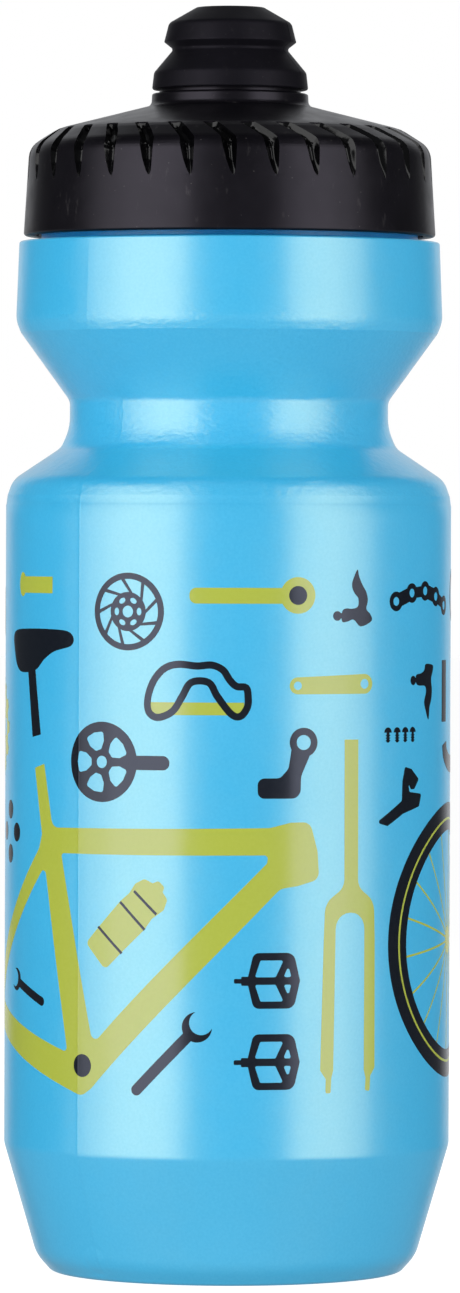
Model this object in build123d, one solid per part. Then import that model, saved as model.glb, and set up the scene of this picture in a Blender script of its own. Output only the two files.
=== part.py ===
from build123d import *
import os
from math import atan2, cos, radians, tan

# Squeezable bicycle water bottle with a screw lid and a push-pull nozzle.
# Millimetres. +Z is up, the origin is the middle of the base, and the nozzle is pushed down, which closes it.

# ---- driving dimensions: bottle ----
BODY_R = 36.7            # gripped by a standard bottle cage
BODY_BOTTOM_Z = 21.1     # where the tapered heel meets the straight body
BODY_TOP_Z = 129.4       # where the straight body and the lower shoulder would meet as sharp lines
HEEL_R = 30.5            # heel taper carried down to the table
FOOT_Z = 2.76            # where the taper turns in to the foot
FOOT_R = 28.86           # foot slope carried down to the table
BASE_RING_R = 25.0       # inner edge of the ring that the bottle stands on
BASE_RECESS = 3.0        # height of the dished base
WAIST_R = 26.2
WAIST_FOOT_Z = 135.5
WAIST_LOW_Z = 138.8
WAIST_HIGH_Z = 143.2
BAND_R = 35.1
BAND_FOOT_R = 34.3       # crease where the waist's upper cone meets the band's rounded lower end
BAND_FOOT_Z = 154.4
BAND_BOTTOM_Z = 156.4
BAND_TOP_R = 34.6
LEDGE_Z = 169.4
NECK_R = 31.0
NECK_BORE_R = 29.1
RIM_Z = 181.9
WALL = 1.2
HEEL_TAPER = atan2(BODY_R - HEEL_R, BODY_BOTTOM_Z)

# ---- driving dimensions: screw thread ----
THREAD_LEAD = 5.0
THREAD_DEPTH = 0.75
THREAD_ROOT = 2.0        # width of a ridge where it leaves its wall
THREAD_CREST = 1.0
THREAD_START_Z = 171.9   # middle of the neck's ridge at its lower end
NECK_TURNS = 1.6
LID_TURNS = 1.25
LID_START_TURN = 0.45    # how far along the neck's ridge the lid's ridge begins
RADIAL_PLAY = 0.2

# ---- driving dimensions: lid ----
LID_BOTTOM_Z = 170.3
LID_R = 33.95
SHOULDER_R = 33.05
SHOULDER_Z = 184.9
DOME_EDGE_R = 28.3
DOME_EDGE_Z = 187.9
COLLAR_R = 12.85
COLLAR_FOOT_Z = 191.8
COLLAR_TOP_Z = 193.8
LID_BORE_R = NECK_R + THREAD_DEPTH + RADIAL_PLAY
SEAT_Z = 183.4           # flat that presses the seal on the bottle's rim
PLUG_R = 28.4            # inner skirt that centres the seal
PLUG_WALL = 1.2
PLUG_BOTTOM_Z = 179.5
DOME_WALL = 1.7
GROOVES = 30
GROOVE_TOOL_R = 0.9
GROOVE_DEPTH = 0.95
GROOVE_TWIST = 33.0      # degrees between a groove's plane and the radius through it

# ---- driving dimensions: spout tower in the lid ----
TUBE_R = 7.6
TUBE_BORE_R = 5.8
TUBE_TOP_Z = 201.4
TUBE_STEP_R = 5.2
INSERT_SEAT_Z = 193.9
TOWER_R = 11.64
TOWER_BORE_R = 10.85
TOWER_TOP_Z = 196.8
TOWER_LIP_R = 10.25
TOWER_LIP_HEIGHT = 0.8
POCKET_Z = 188.0         # floor of the ring-shaped pocket that the nozzle slides in
HUB_R = 12.2
HUB_BOTTOM_Z = 186.5

# ---- driving dimensions: nozzle ----
SLEEVE_BORE_R = 7.65
SLEEVE_R = 10.1
SLEEVE_BOTTOM_Z = 188.3
BEAD_R = 10.7
RING_Z = 191.1
RING_SECTION_R = 0.75
CORE_NECK_R = 8.6
CORE_LIP_R = 9.3
ORIFICE_Z = 201.8
ORIFICE_PLATE = 1.4
PIN_R = 3.0
PIN_PLAY = 0.05
PIN_TOP_Z = 203.4
VALVE_R = 6.4
VALVE_HEIGHT = 1.4
SKIRT_R = 12.87
SKIRT_BORE_R = 11.75
SKIRT_BOTTOM_Z = 194.45
SKIRT_TOP_Z = 197.4
SKIRT_ROOF_Z = 197.0
MOUTH_NECK_R = 9.45
MOUTH_NECK_Z = 201.2
LIP_R = 10.88
LIP_Z = 202.3
TOP_Z = 208.0
OUTLET_R = 4.2


def turned(corners):
    """Solid of revolution about Z from a closed outline of (radius, height, corner rounding) rows."""
    outline = FilletPolyline(
        *[(r, z) for r, z, _ in corners],
        radius=[rounding for _, _, rounding in corners],
        close=True,
    )
    section = Plane.XZ * make_face(outline)
    return revolve(section, Axis.Z)


def ring(inner_r, outer_r, bottom_z, top_z):
    """Plain ring about Z."""
    tube = Cylinder(outer_r, top_z - bottom_z) - Cylinder(inner_r, top_z - bottom_z)
    return Pos(0, 0, (bottom_z + top_z) / 2) * tube


def thread_ridge(wall_r, outward, start_z, start_turn, turns):
    """Helical ridge of trapezoid section that leaves a wall of radius wall_r outward (+1) or inward (-1)."""
    embed = 0.4
    foot = (THREAD_ROOT + (THREAD_ROOT - THREAD_CREST) * embed / THREAD_DEPTH) / 2
    crest = THREAD_CREST / 2
    section = Polyline(
        (wall_r - embed * outward, -foot),
        (wall_r + THREAD_DEPTH * outward, -crest),
        (wall_r + THREAD_DEPTH * outward, crest),
        (wall_r - embed * outward, foot),
        close=True,
    )
    path = Helix(THREAD_LEAD, THREAD_LEAD * turns, wall_r)
    ridge = sweep(Plane.XZ * make_face(section), path, is_frenet=True)
    return Pos(0, 0, start_z) * (Rot(0, 0, 360 * start_turn) * ridge)


def bottle_corners(inset):
    """Outline of the bottle from its heel to its neck, moved inward by inset along the walls it follows."""
    lower = radians(56.5)
    upper = atan2(BAND_FOOT_R - WAIST_R, BAND_FOOT_Z - WAIST_HIGH_Z)
    return [
        (BODY_R - inset, BODY_BOTTOM_Z - inset * tan(HEEL_TAPER / 2), 4.0),
        (BODY_R - inset, BODY_TOP_Z - inset * tan(lower / 2), 7.2 - inset),
        (WAIST_R + 1.4 - inset, WAIST_FOOT_Z - inset * tan(lower / 2), 3.0),
        (WAIST_R - inset, WAIST_LOW_Z, 11.0),
        (WAIST_R - inset, WAIST_HIGH_Z, 4.0),
        (BAND_FOOT_R - inset, BAND_FOOT_Z + inset * tan(upper / 2), 0),
        (BAND_R - inset, BAND_BOTTOM_Z + inset * tan(upper / 2), 9.0 - inset),
    ]


def bottle_body():
    dish = [(0, BASE_RECESS, 0), (BASE_RING_R - 6.0, BASE_RECESS - 0.4, 6.0)]
    foot = [(BASE_RING_R, 0, 1.0), (FOOT_R, 0, 1.5), (HEEL_R + FOOT_Z * tan(HEEL_TAPER), FOOT_Z, 6.0)]
    outside = dish + foot + bottle_corners(0) + [
        (BAND_TOP_R, LEDGE_Z, 0.4),
        (NECK_R, LEDGE_Z, 0.4),
        (NECK_R, RIM_Z, 0.5),
        (0, RIM_Z, 0),
    ]
    dish_inside = [(0, BASE_RECESS + WALL, 0), (BASE_RING_R - 6.0, BASE_RECESS - 0.4 + WALL, 6.0)]
    inner_heel_r = HEEL_R - WALL / cos(HEEL_TAPER) + WALL * tan(HEEL_TAPER)
    foot_inside = [(BASE_RING_R - WALL, WALL, 1.0), (inner_heel_r, WALL, 4.0)]
    inside = dish_inside + foot_inside + bottle_corners(WALL) + [
        (BAND_TOP_R - WALL, LEDGE_Z - WALL, 1.0),
        (NECK_BORE_R, LEDGE_Z - WALL, 0.8),
        (NECK_BORE_R, RIM_Z + 1.0, 0),
        (0, RIM_Z + 1.0, 0),
    ]
    ridge = thread_ridge(NECK_R, 1, THREAD_START_Z, 0, NECK_TURNS)
    return turned(outside) + ridge - turned(inside)


def lid_outside():
    """Outer shape of the lid, filled to the axis."""
    return turned([
        (0, LID_BOTTOM_Z, 0),
        (LID_R, LID_BOTTOM_Z, 0.5),
        (SHOULDER_R, SHOULDER_Z, 4.7),
        (DOME_EDGE_R, DOME_EDGE_Z, 15.0),
        (COLLAR_R + 0.1, COLLAR_FOOT_Z, 1.0),
        (COLLAR_R, COLLAR_TOP_Z, 0.35),
        (TOWER_R, COLLAR_TOP_Z, 0.2),
        (TOWER_R, TOWER_TOP_Z, 0.3),
        (TOWER_LIP_R, TOWER_TOP_Z, 0.3),
        (TOWER_LIP_R, TOWER_TOP_Z - TOWER_LIP_HEIGHT, 0),
        (TOWER_BORE_R, TOWER_TOP_Z - TOWER_LIP_HEIGHT, 0),
        (TOWER_BORE_R, POCKET_Z, 0.3),
        (TUBE_R, POCKET_Z, 0.3),
        (TUBE_R, TUBE_TOP_Z, 0.4),
        (0, TUBE_TOP_Z, 0),
    ])


def lid_cavity():
    """Space inside the lid: thread bore, seat for the seal, plug skirt and the hollow under the dome."""
    under_edge_z = DOME_EDGE_Z - DOME_WALL
    under_collar_z = COLLAR_FOOT_Z - DOME_WALL
    plug_inner = PLUG_R - PLUG_WALL
    return turned([
        (0, LID_BOTTOM_Z - 1.0, 0),
        (LID_BORE_R, LID_BOTTOM_Z - 1.0, 0),
        (LID_BORE_R, SEAT_Z, 0),
        (PLUG_R, SEAT_Z, 0),
        (PLUG_R, PLUG_BOTTOM_Z, 0.3),
        (plug_inner, PLUG_BOTTOM_Z, 0.3),
        (plug_inner, under_edge_z, 1.0),
        (HUB_R, under_collar_z, 1.0),
        (HUB_R, HUB_BOTTOM_Z, 0.6),
        (TUBE_STEP_R, HUB_BOTTOM_Z, 0.3),
        (TUBE_STEP_R, INSERT_SEAT_Z, 0),
        (TUBE_BORE_R, INSERT_SEAT_Z, 0),
        (TUBE_BORE_R, TUBE_TOP_Z + 1.0, 0),
        (0, TUBE_TOP_Z + 1.0, 0),
    ])


def shoulder_grooves():
    """Round-nosed cutters that sweep over the lid's shoulder and run out at both ends."""
    lean = 1 / cos(radians(GROOVE_TWIST))
    top = ((28.2 - SHOULDER_R) * lean, 188.0 + GROOVE_TOOL_R)
    middle = ((32.55 - SHOULDER_R) * lean, 184.65)
    low = ((33.25 + GROOVE_TOOL_R - SHOULDER_R) * lean, 179.2)
    nudge = GROOVE_TOOL_R - GROOVE_DEPTH
    path = ThreePointArc(top, (middle[0] + nudge, middle[1] + nudge), low)
    start = Plane(origin=path @ 0, z_dir=path % 0)
    tool = sweep(start * Circle(GROOVE_TOOL_R), path)
    upright = Rot(90, 0, 0) * tool
    leaning = Rot(0, 0, GROOVE_TWIST) * upright
    placed = Pos(SHOULDER_R, 0, 0) * leaning
    return [Rot(0, 0, -90 + 360 / GROOVES * step) * placed for step in range(GROOVES)]


def lid_shell():
    ridge_z = THREAD_START_Z + THREAD_LEAD * (LID_START_TURN - 0.5)
    ridge = thread_ridge(LID_BORE_R, -1, ridge_z, LID_START_TURN, LID_TURNS)
    return lid_outside() - lid_cavity() - shoulder_grooves() + ridge


def lid_seal():
    play = 0.05
    return turned([
        (PLUG_R + play, RIM_Z, 0.2),
        (LID_BORE_R - play, RIM_Z, 0.2),
        (LID_BORE_R - play, SEAT_Z, 0.2),
        (PLUG_R + play, SEAT_Z, 0.2),
    ])


def spout_stopper():
    """Insert pressed into the spout tube: a ring, three spokes and the pin that plugs the nozzle."""
    ring_height = 4.0
    wall = 0.9
    spoke = 1.3
    hoop = ring(TUBE_BORE_R - wall, TUBE_BORE_R, INSERT_SEAT_Z, INSERT_SEAT_Z + ring_height)
    pin = turned([
        (0, INSERT_SEAT_Z - 2.0, 0),
        (PIN_R - 1.0, INSERT_SEAT_Z - 2.0, 0.8),
        (PIN_R, INSERT_SEAT_Z, 0.8),
        (PIN_R, PIN_TOP_Z, 0.5),
        (0, PIN_TOP_Z, 0),
    ])
    reach = TUBE_BORE_R - wall / 2
    arm = Pos(reach / 2, 0, INSERT_SEAT_Z + ring_height / 2) * Box(reach, spoke, ring_height)
    return hoop + pin + [Rot(0, 0, 120 * leg) * arm for leg in range(3)]


def nozzle_core():
    """Hard sleeve that slides on the spout tube, with the plate whose hole the stopper pin closes."""
    lip_top = ORIFICE_Z + ORIFICE_PLATE + VALVE_HEIGHT
    sleeve = turned([
        (SLEEVE_BORE_R, SLEEVE_BOTTOM_Z, 0.2),
        (BEAD_R, SLEEVE_BOTTOM_Z, 0.3),
        (BEAD_R, SLEEVE_BOTTOM_Z + 0.8, 0.2),
        (SLEEVE_R, SLEEVE_BOTTOM_Z + 1.1, 0),
        (SLEEVE_R, SKIRT_ROOF_Z + 1.0, 0.4),
        (CORE_NECK_R, SKIRT_ROOF_Z + 3.0, 0.4),
        (CORE_NECK_R, ORIFICE_Z + 0.6, 0),
        (CORE_LIP_R, ORIFICE_Z + 1.1, 0),
        (CORE_LIP_R, lip_top - 0.6, 0),
        (CORE_NECK_R, lip_top, 0),
        (VALVE_R, lip_top, 0),
        (VALVE_R, ORIFICE_Z + ORIFICE_PLATE, 0),
        (PIN_R + PIN_PLAY, ORIFICE_Z + ORIFICE_PLATE, 0.2),
        (PIN_R + PIN_PLAY, ORIFICE_Z, 0.2),
        (SLEEVE_BORE_R, ORIFICE_Z, 0),
    ])
    half = RING_SECTION_R + 0.15
    groove = ring(SLEEVE_BORE_R - 1.0, SLEEVE_BORE_R + 2 * RING_SECTION_R + 0.1, RING_Z - half, RING_Z + half)
    return sleeve - groove


def nozzle_o_ring():
    centre_r = SLEEVE_BORE_R + RING_SECTION_R
    return Pos(0, 0, RING_Z) * Torus(centre_r, RING_SECTION_R)


def slit_valve():
    """Soft disc with a thin middle that is cut by a cross."""
    bottom = ORIFICE_Z + ORIFICE_PLATE
    web_low = bottom + 0.55
    web_high = web_low + 0.6
    disc = turned([
        (0, web_low + 0.1, 0),
        (OUTLET_R - 0.8, web_low, 0),
        (OUTLET_R, bottom, 0),
        (VALVE_R, bottom, 0),
        (VALVE_R, bottom + VALVE_HEIGHT, 0),
        (OUTLET_R, bottom + VALVE_HEIGHT, 0),
        (OUTLET_R - 0.6, web_high, 0),
        (0, web_high + 0.1, 0),
    ])
    cut = Pos(0, 0, bottom + VALVE_HEIGHT / 2) * Box(5.0, 0.12, 2 * VALVE_HEIGHT)
    return disc - cut - Rot(0, 0, 90) * cut


def nozzle_mouthpiece():
    """Soft skin moulded over the core: skirt over the tower, narrow neck and a lip to bite on."""
    lip_top = ORIFICE_Z + ORIFICE_PLATE + VALVE_HEIGHT
    return turned([
        (SKIRT_BORE_R, SKIRT_BOTTOM_Z, 0.3),
        (SKIRT_R, SKIRT_BOTTOM_Z, 0.35),
        (SKIRT_R - 0.25, SKIRT_TOP_Z, 0.9),
        (MOUTH_NECK_R, MOUTH_NECK_Z, 0.5),
        (LIP_R, LIP_Z, 0.15),
        (LIP_R - 0.73, LIP_Z + 3.15, 1.0),
        (OUTLET_R + 1.4, TOP_Z, 0.5),
        (OUTLET_R + 0.4, TOP_Z, 0.35),
        (OUTLET_R, lip_top, 0),
        (CORE_NECK_R, lip_top, 0),
        (CORE_LIP_R, lip_top - 0.6, 0),
        (CORE_LIP_R, ORIFICE_Z + 1.1, 0),
        (CORE_NECK_R, ORIFICE_Z + 0.6, 0),
        (CORE_NECK_R, SKIRT_ROOF_Z + 3.0, 0.4),
        (SLEEVE_R, SKIRT_ROOF_Z + 1.0, 0.4),
        (SLEEVE_R, SKIRT_ROOF_Z, 0),
        (SKIRT_BORE_R, SKIRT_ROOF_Z, 0.3),
    ])


PARTS = {
    "bottle_body": bottle_body,
    "lid_shell": lid_shell,
    "lid_seal": lid_seal,
    "spout_stopper": spout_stopper,
    "nozzle_core": nozzle_core,
    "nozzle_o_ring": nozzle_o_ring,
    "slit_valve": slit_valve,
    "nozzle_mouthpiece": nozzle_mouthpiece,
}

os.makedirs("parts", exist_ok=True)
for name, make in PARTS.items():
    export_step(make(), f"parts/{name}.step")
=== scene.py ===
from bisect import bisect_right
from math import atan2, cos, degrees, exp, hypot, pi, radians, sin, tan

import bpy
from mathutils import Matrix, Vector
from mathutils.geometry import delaunay_2d_cdt


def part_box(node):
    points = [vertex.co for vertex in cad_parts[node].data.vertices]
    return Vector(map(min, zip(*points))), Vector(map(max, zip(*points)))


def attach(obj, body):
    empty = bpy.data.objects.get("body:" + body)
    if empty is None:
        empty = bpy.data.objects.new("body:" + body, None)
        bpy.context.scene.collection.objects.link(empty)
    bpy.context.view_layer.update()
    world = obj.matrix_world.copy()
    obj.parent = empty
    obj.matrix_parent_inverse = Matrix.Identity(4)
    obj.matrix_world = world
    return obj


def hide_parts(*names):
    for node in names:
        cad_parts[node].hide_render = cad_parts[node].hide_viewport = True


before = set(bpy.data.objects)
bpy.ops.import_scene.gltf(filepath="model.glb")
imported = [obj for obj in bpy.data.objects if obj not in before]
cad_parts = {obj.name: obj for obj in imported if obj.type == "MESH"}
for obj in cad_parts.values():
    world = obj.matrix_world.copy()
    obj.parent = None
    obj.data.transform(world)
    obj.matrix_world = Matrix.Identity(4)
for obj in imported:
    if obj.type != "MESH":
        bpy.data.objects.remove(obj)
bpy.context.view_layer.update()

MM = 0.001
_, bottle_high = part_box("bottle_body")
lid_low, lid_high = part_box("lid_shell")
mouth_low, mouth_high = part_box("nozzle_mouthpiece")


# ---------------- outlines, in millimetres

SMALL_ROUNDING = 0.25


def rounded(corners, closed=False, step=5.0):
    """Points along an outline of (x, y, rounding) corners, with an arc point every step degrees, or every
    two steps where the rounding is small."""
    points = []
    count = len(corners)
    for index, corner in enumerate(corners):
        here = Vector(corner[:2])
        rounding = corner[2] if len(corner) > 2 else 0
        at_end = not closed and index in (0, count - 1)
        if rounding <= 0 or at_end:
            points.append(tuple(here))
            continue
        back = Vector(corners[index - 1][:2]) - here
        ahead = Vector(corners[(index + 1) % count][:2]) - here
        half = back.angle(ahead) / 2
        if half > pi / 2 - 0.002:
            points.append(tuple(here))
            continue
        reach = min(rounding / tan(half), 0.499 * back.length, 0.499 * ahead.length)
        radius = reach * tan(half)
        start = here + back.normalized() * reach
        end = here + ahead.normalized() * reach
        centre = here + (back.normalized() + ahead.normalized()).normalized() * (radius / sin(half))
        turn = pi - 2 * half
        pieces = max(2, round(degrees(turn) / (step if rounding > SMALL_ROUNDING else 2 * step)))
        for k in range(pieces + 1):
            share = k / pieces
            a, b = sin((1 - share) * turn), sin(share * turn)
            arm = ((start - centre) * a + (end - centre) * b) / sin(turn)
            points.append(tuple(centre + arm))
    return points


def divided(points, longest):
    """The same line with no run longer than longest(x, y), which may depend on the place."""
    out = [points[0]]
    for (x0, y0), (x1, y1) in zip(points, points[1:]):
        parts = max(1, round(hypot(x1 - x0, y1 - y0) / longest((x0 + x1) / 2, (y0 + y1) / 2)))
        out += [(x0 + (x1 - x0) * k / parts, y0 + (y1 - y0) * k / parts) for k in range(1, parts + 1)]
    return out


def between(value, table):
    """Straight-line reading of a small table of (place, value) pairs."""
    places = [place for place, _ in table]
    k = min(max(bisect_right(places, value), 1), len(table) - 1)
    (a, va), (b, vb) = table[k - 1], table[k]
    share = min(max((value - a) / (b - a), 0), 1)
    return va + (vb - va) * share


# ---------------- meshes

def mesh_object(name, verts, faces, sharp=40, materials=(), face_material=None):
    """A smooth-shaded object from vertices in millimetres, with sharp edges above an angle."""
    mesh = bpy.data.meshes.new(name)
    mesh.from_pydata([(x * MM, y * MM, z * MM) for x, y, z in verts], [], faces)
    for material in materials:
        mesh.materials.append(material)
    if face_material:
        mesh.polygons.foreach_set("material_index", face_material)
    mesh.polygons.foreach_set("use_smooth", [True] * len(mesh.polygons))
    if sharp:
        mesh.set_sharp_from_angle(angle=radians(sharp))
    mesh.update()
    piece = bpy.data.objects.new(name, mesh)
    bpy.context.scene.collection.objects.link(piece)
    return piece


def spun(name, outline, columns, shape, closed=False, materials=(), paint=None, sharp=40):
    """An outline of (radius, height) points turned about Z. shape(row, column) gives a point's own
    (azimuth, radius, height), and paint(row, column) the number of a face's material.
    An azimuth is counted in radians from the front, positive to the right."""
    verts, rings = [], []
    for row, (r, z) in enumerate(outline):
        if r < 1e-6:
            rings.append([len(verts)] * columns)
            verts.append((0, 0, z))
            continue
        rings.append(list(range(len(verts), len(verts) + columns)))
        for column in range(columns):
            azimuth, radius, height = shape(row, column)
            verts.append((radius * sin(azimuth), -radius * cos(azimuth), height))
    faces, painted = [], []
    pairs = list(zip(rings, rings[1:] + rings[:1]))
    for row, (low, high) in enumerate(pairs if closed else pairs[:-1]):
        for i in range(columns):
            j = (i + 1) % columns
            corners = list(dict.fromkeys((low[i], low[j], high[j], high[i])))
            if len(corners) > 2:
                faces.append(corners)
                painted.append(paint(row, i) if paint else 0)
    return mesh_object(name, verts, faces, sharp, materials, painted if paint else None)


def past(azimuth, line):
    """How far round an azimuth lies past a line, from -pi to pi."""
    return (azimuth - line + pi) % (2 * pi) - pi


def even_around(columns, lines, gap):
    """Azimuths spaced evenly all round, with the lines put in in place of those nearer to them than gap."""
    even = [2 * pi * k / columns for k in range(columns)]
    clear = [a for a in even if all(abs(past(a, line)) > gap for line in lines)]
    return sorted([line % (2 * pi) for line in lines] + clear)


# ---------------- materials

def add_node(tree, kind, inputs, **settings):
    """A new node whose inputs are linked to other nodes' outputs or set to plain values."""
    made = tree.nodes.new(kind)
    for key, value in settings.items():
        setattr(made, key, value)
    for key, value in inputs.items():
        if isinstance(value, bpy.types.NodeSocket):
            tree.links.new(value, made.inputs[key])
        else:
            made.inputs[key].default_value = value
    return made


class Shader:
    """A Principled material whose textures are placed by the object's own coordinates, in metres."""

    def __init__(self, name, **constants):
        self.material = bpy.data.materials.new(name)
        self.material.use_nodes = True
        self.tree = self.material.node_tree
        self.main = self.tree.nodes["Principled BSDF"]
        self.place = self.tree.nodes.new("ShaderNodeTexCoord").outputs["Object"]
        for socket, value in constants.items():
            self.main.inputs[socket.replace("_", " ")].default_value = value

    def node(self, kind, inputs, **settings):
        return add_node(self.tree, kind, inputs, **settings)

    def stretched(self, x, y, z):
        """Texture coordinates drawn out or squeezed along the axes."""
        return self.node("ShaderNodeMapping", {"Vector": self.place, "Scale": (x, y, z)}).outputs[0]

    def noise(self, size_mm, detail=2.0, place=None, rough=0.5):
        return self.node("ShaderNodeTexNoise", {
            "Vector": place or self.place, "Scale": 1 / (size_mm * MM), "Detail": detail, "Roughness": rough,
        }).outputs["Fac"]

    def cells(self, size_mm):
        """Distance from the middle of scattered spots, in units of their spacing."""
        made = self.node("ShaderNodeTexVoronoi", {"Vector": self.place, "Scale": 1 / (size_mm * MM)})
        return made.outputs["Distance"]

    def product(self, one, other):
        return self.node("ShaderNodeMath", {0: one, 1: other}, operation="MULTIPLY").outputs[0]

    def spread(self, value, low, high, from_low=0.3, from_high=0.7):
        return self.node("ShaderNodeMapRange", {
            "Value": value, "From Min": from_low, "From Max": from_high, "To Min": low, "To Max": high,
        }).outputs["Result"]

    def mixed(self, share, one, other):
        one, other = [c if isinstance(c, bpy.types.NodeSocket) else (*c, 1) for c in (one, other)]
        return self.node("ShaderNodeMix", {"Factor": share, 6: one, 7: other}, data_type="RGBA").outputs[2]

    def bump(self, height, depth_mm, under=None):
        inputs = {"Height": height, "Distance": depth_mm * MM, "Strength": 1.0}
        if under:
            inputs["Normal"] = under
        return self.node("ShaderNodeBump", inputs).outputs["Normal"]

    def set(self, socket, value):
        self.tree.links.new(value, self.main.inputs[socket])


PEARL_TINTS = ((0.022, 0.434, 0.768), (0.026, 0.448, 0.794))
RIPPLES_START, RIPPLES_FULL = 0.1264, 0.1278     # heights in metres
RIPPLES_FADE, RIPPLES_END = 0.1565, 0.1590


def pearl_blue(name, depth, sheen):
    """Blow-moulded polyethylene with fine mica, an orange-peel skin, and ripples from the shoulder to the
    band, where the wall was stretched."""
    s = Shader(name, Specular_IOR_Level=1.0 * sheen, Specular_Tint=(1.0, 1.0, 0.35, 1), IOR=1.6,
               Coat_Weight=0.55 * sheen, Coat_Roughness=0.24)
    mica = s.spread(s.noise(0.45, 3), 0.0, 1.0)
    clouds = s.spread(s.noise(22, 3), 0.0, 1.0)
    # depth scales both tints; on the neck it paints the shade under the lid
    deep, pale = [tuple(c * d for c, d in zip(tint, depth)) for tint in PEARL_TINTS]
    tint = s.mixed(clouds, deep, pale)
    shaded = s.mixed(0.14, tint, (0.01, 0.30, 0.60))
    glinting = s.mixed(0.035, tint, (0.5, 0.9, 1.0))
    s.set("Base Color", s.mixed(mica, shaded, glinting))
    s.set("Roughness", s.spread(s.noise(2.5, 3), 0.29, 0.34))
    height = s.node("ShaderNodeSeparateXYZ", {"Vector": s.place}).outputs["Z"]
    rise = s.spread(height, 0.0, 1.0, RIPPLES_START, RIPPLES_FULL)
    fall = s.spread(height, 1.0, 0.0, RIPPLES_FADE, RIPPLES_END)
    waist = s.product(rise, fall)
    creases = s.noise(0.8, 3, place=s.stretched(0.7, 0.7, 1.2))
    ripples = s.bump(s.product(creases, waist), 0.09)
    s.set("Normal", s.bump(s.noise(3.4, 2), 0.020, under=ripples))
    return s.material


def ink(name, dark, light, rough, spec, sheen):
    """Screen-printed ink: a thin even film, faintly mottled."""
    s = Shader(name, Specular_IOR_Level=spec, Specular_Tint=(*sheen, 1))
    s.set("Base Color", s.mixed(s.spread(s.noise(0.6, 4), 0, 1), dark, light))
    s.set("Roughness", s.spread(s.noise(1.2, 3), rough - 0.02, rough + 0.02))
    peel = s.bump(s.noise(3.4, 2), 0.012)
    s.set("Normal", s.bump(s.noise(0.25, 3), 0.0008, under=peel))
    return s.material


def black_plastic(name, rough, grain_mm, grain_depth, scuffs=0.0, base=(0.0048, 0.0046, 0.0060), spec=0.5,
                  sheen=(1.0, 1.0, 1.0)):
    """Moulded black plastic: spark-eroded grain, slow changes of sheen, and a few pale scuffs and specks."""
    s = Shader(name, Specular_IOR_Level=spec, Specular_Tint=(*sheen, 1))
    cloud = s.spread(s.noise(9, 4), 0, 1)
    lighter = tuple(channel * 1.7 for channel in base)
    color = s.mixed(cloud, base, lighter)
    if scuffs:
        streaks = s.noise(1.6, 5, place=s.stretched(1.0, 1.0, 0.35), rough=0.7)
        marks = s.spread(streaks, 0.0, scuffs, 0.62, 0.80)
        color = s.mixed(marks, color, (0.16, 0.15, 0.15))
        specks = s.spread(s.cells(1.5), scuffs * 1.5, 0.0, 0.03, 0.07)
        color = s.mixed(specks, color, (0.22, 0.21, 0.20))
    s.set("Base Color", color)
    s.set("Roughness", s.spread(s.noise(4, 5), rough - 0.04, rough + 0.04))
    s.set("Normal", s.bump(s.noise(grain_mm, 3), grain_depth))
    return s.material


def silicone(name, color, rough):
    """Milky rubber with a faint bloom."""
    s = Shader(name, Specular_IOR_Level=0.4, Subsurface_Weight=0.25, Subsurface_Scale=0.002)
    darker = tuple(channel * 0.9 for channel in color)
    s.set("Base Color", s.mixed(s.spread(s.noise(3, 4), 0, 1), darker, color))
    s.set("Roughness", s.spread(s.noise(1.5, 4), rough - 0.06, rough + 0.08))
    s.set("Normal", s.bump(s.noise(0.4, 3), 0.004))
    return s.material


BLUE = pearl_blue("pearl_blue_plastic", (1.0, 1.0, 1.0), 1.0)
# the neck is the body's blue with painted shade: its tints are darkened and deepened for the shade under the
# lid's skirt
NECK_SHADE_BLUE = pearl_blue("neck_blue_painted_shade", (0.32, 0.70, 1.03), 0.2)
LIME_INK = ink("lime_ink", (0.385, 0.445, 0.050), (0.400, 0.460, 0.056), 0.22, 0.82, (0.66, 0.60, 1.0))
BLACK_INK = ink("black_ink", (0.0035, 0.0060, 0.010), (0.0060, 0.0085, 0.013), 0.20, 0.55, (0.74, 0.78, 1.0))
PURPLE = (0.90, 0.83, 1.0)           # the satin blacks' highlights are faintly purple
LID_BLACK = black_plastic("lid_black_plastic", 0.33, 0.22, 0.005, scuffs=0.22, spec=0.27,
                          base=(0.0024, 0.0022, 0.0032), sheen=PURPLE)
# the grooves' own polished finish, partly painted shade: its base is darker than the lid's, for the shade
# inside the grooves
GROOVE_POLISH_AND_SHADE = black_plastic("polished_black_with_painted_shade", 0.14, 2.4, 0.002, spec=0.26,
                             base=(0.0010, 0.0010, 0.0013))
SOFT_BLACK = black_plastic("soft_black_rubber", 0.50, 0.30, 0.006, scuffs=0.08, spec=0.12,
                           base=(0.0036, 0.0034, 0.0048), sheen=PURPLE)
CORE_BLACK = black_plastic("hard_black_plastic", 0.34, 0.4, 0.004, base=(0.0070, 0.0070, 0.0080))
RING_BLACK = black_plastic("black_rubber", 0.58, 0.25, 0.006, base=(0.0050, 0.0050, 0.0050))
SEAL_PALE = silicone("pale_silicone", (0.70, 0.73, 0.75), 0.42)
VALVE_PALE = silicone("milky_silicone", (0.72, 0.77, 0.80), 0.36)


# ---------------- bottle

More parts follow.
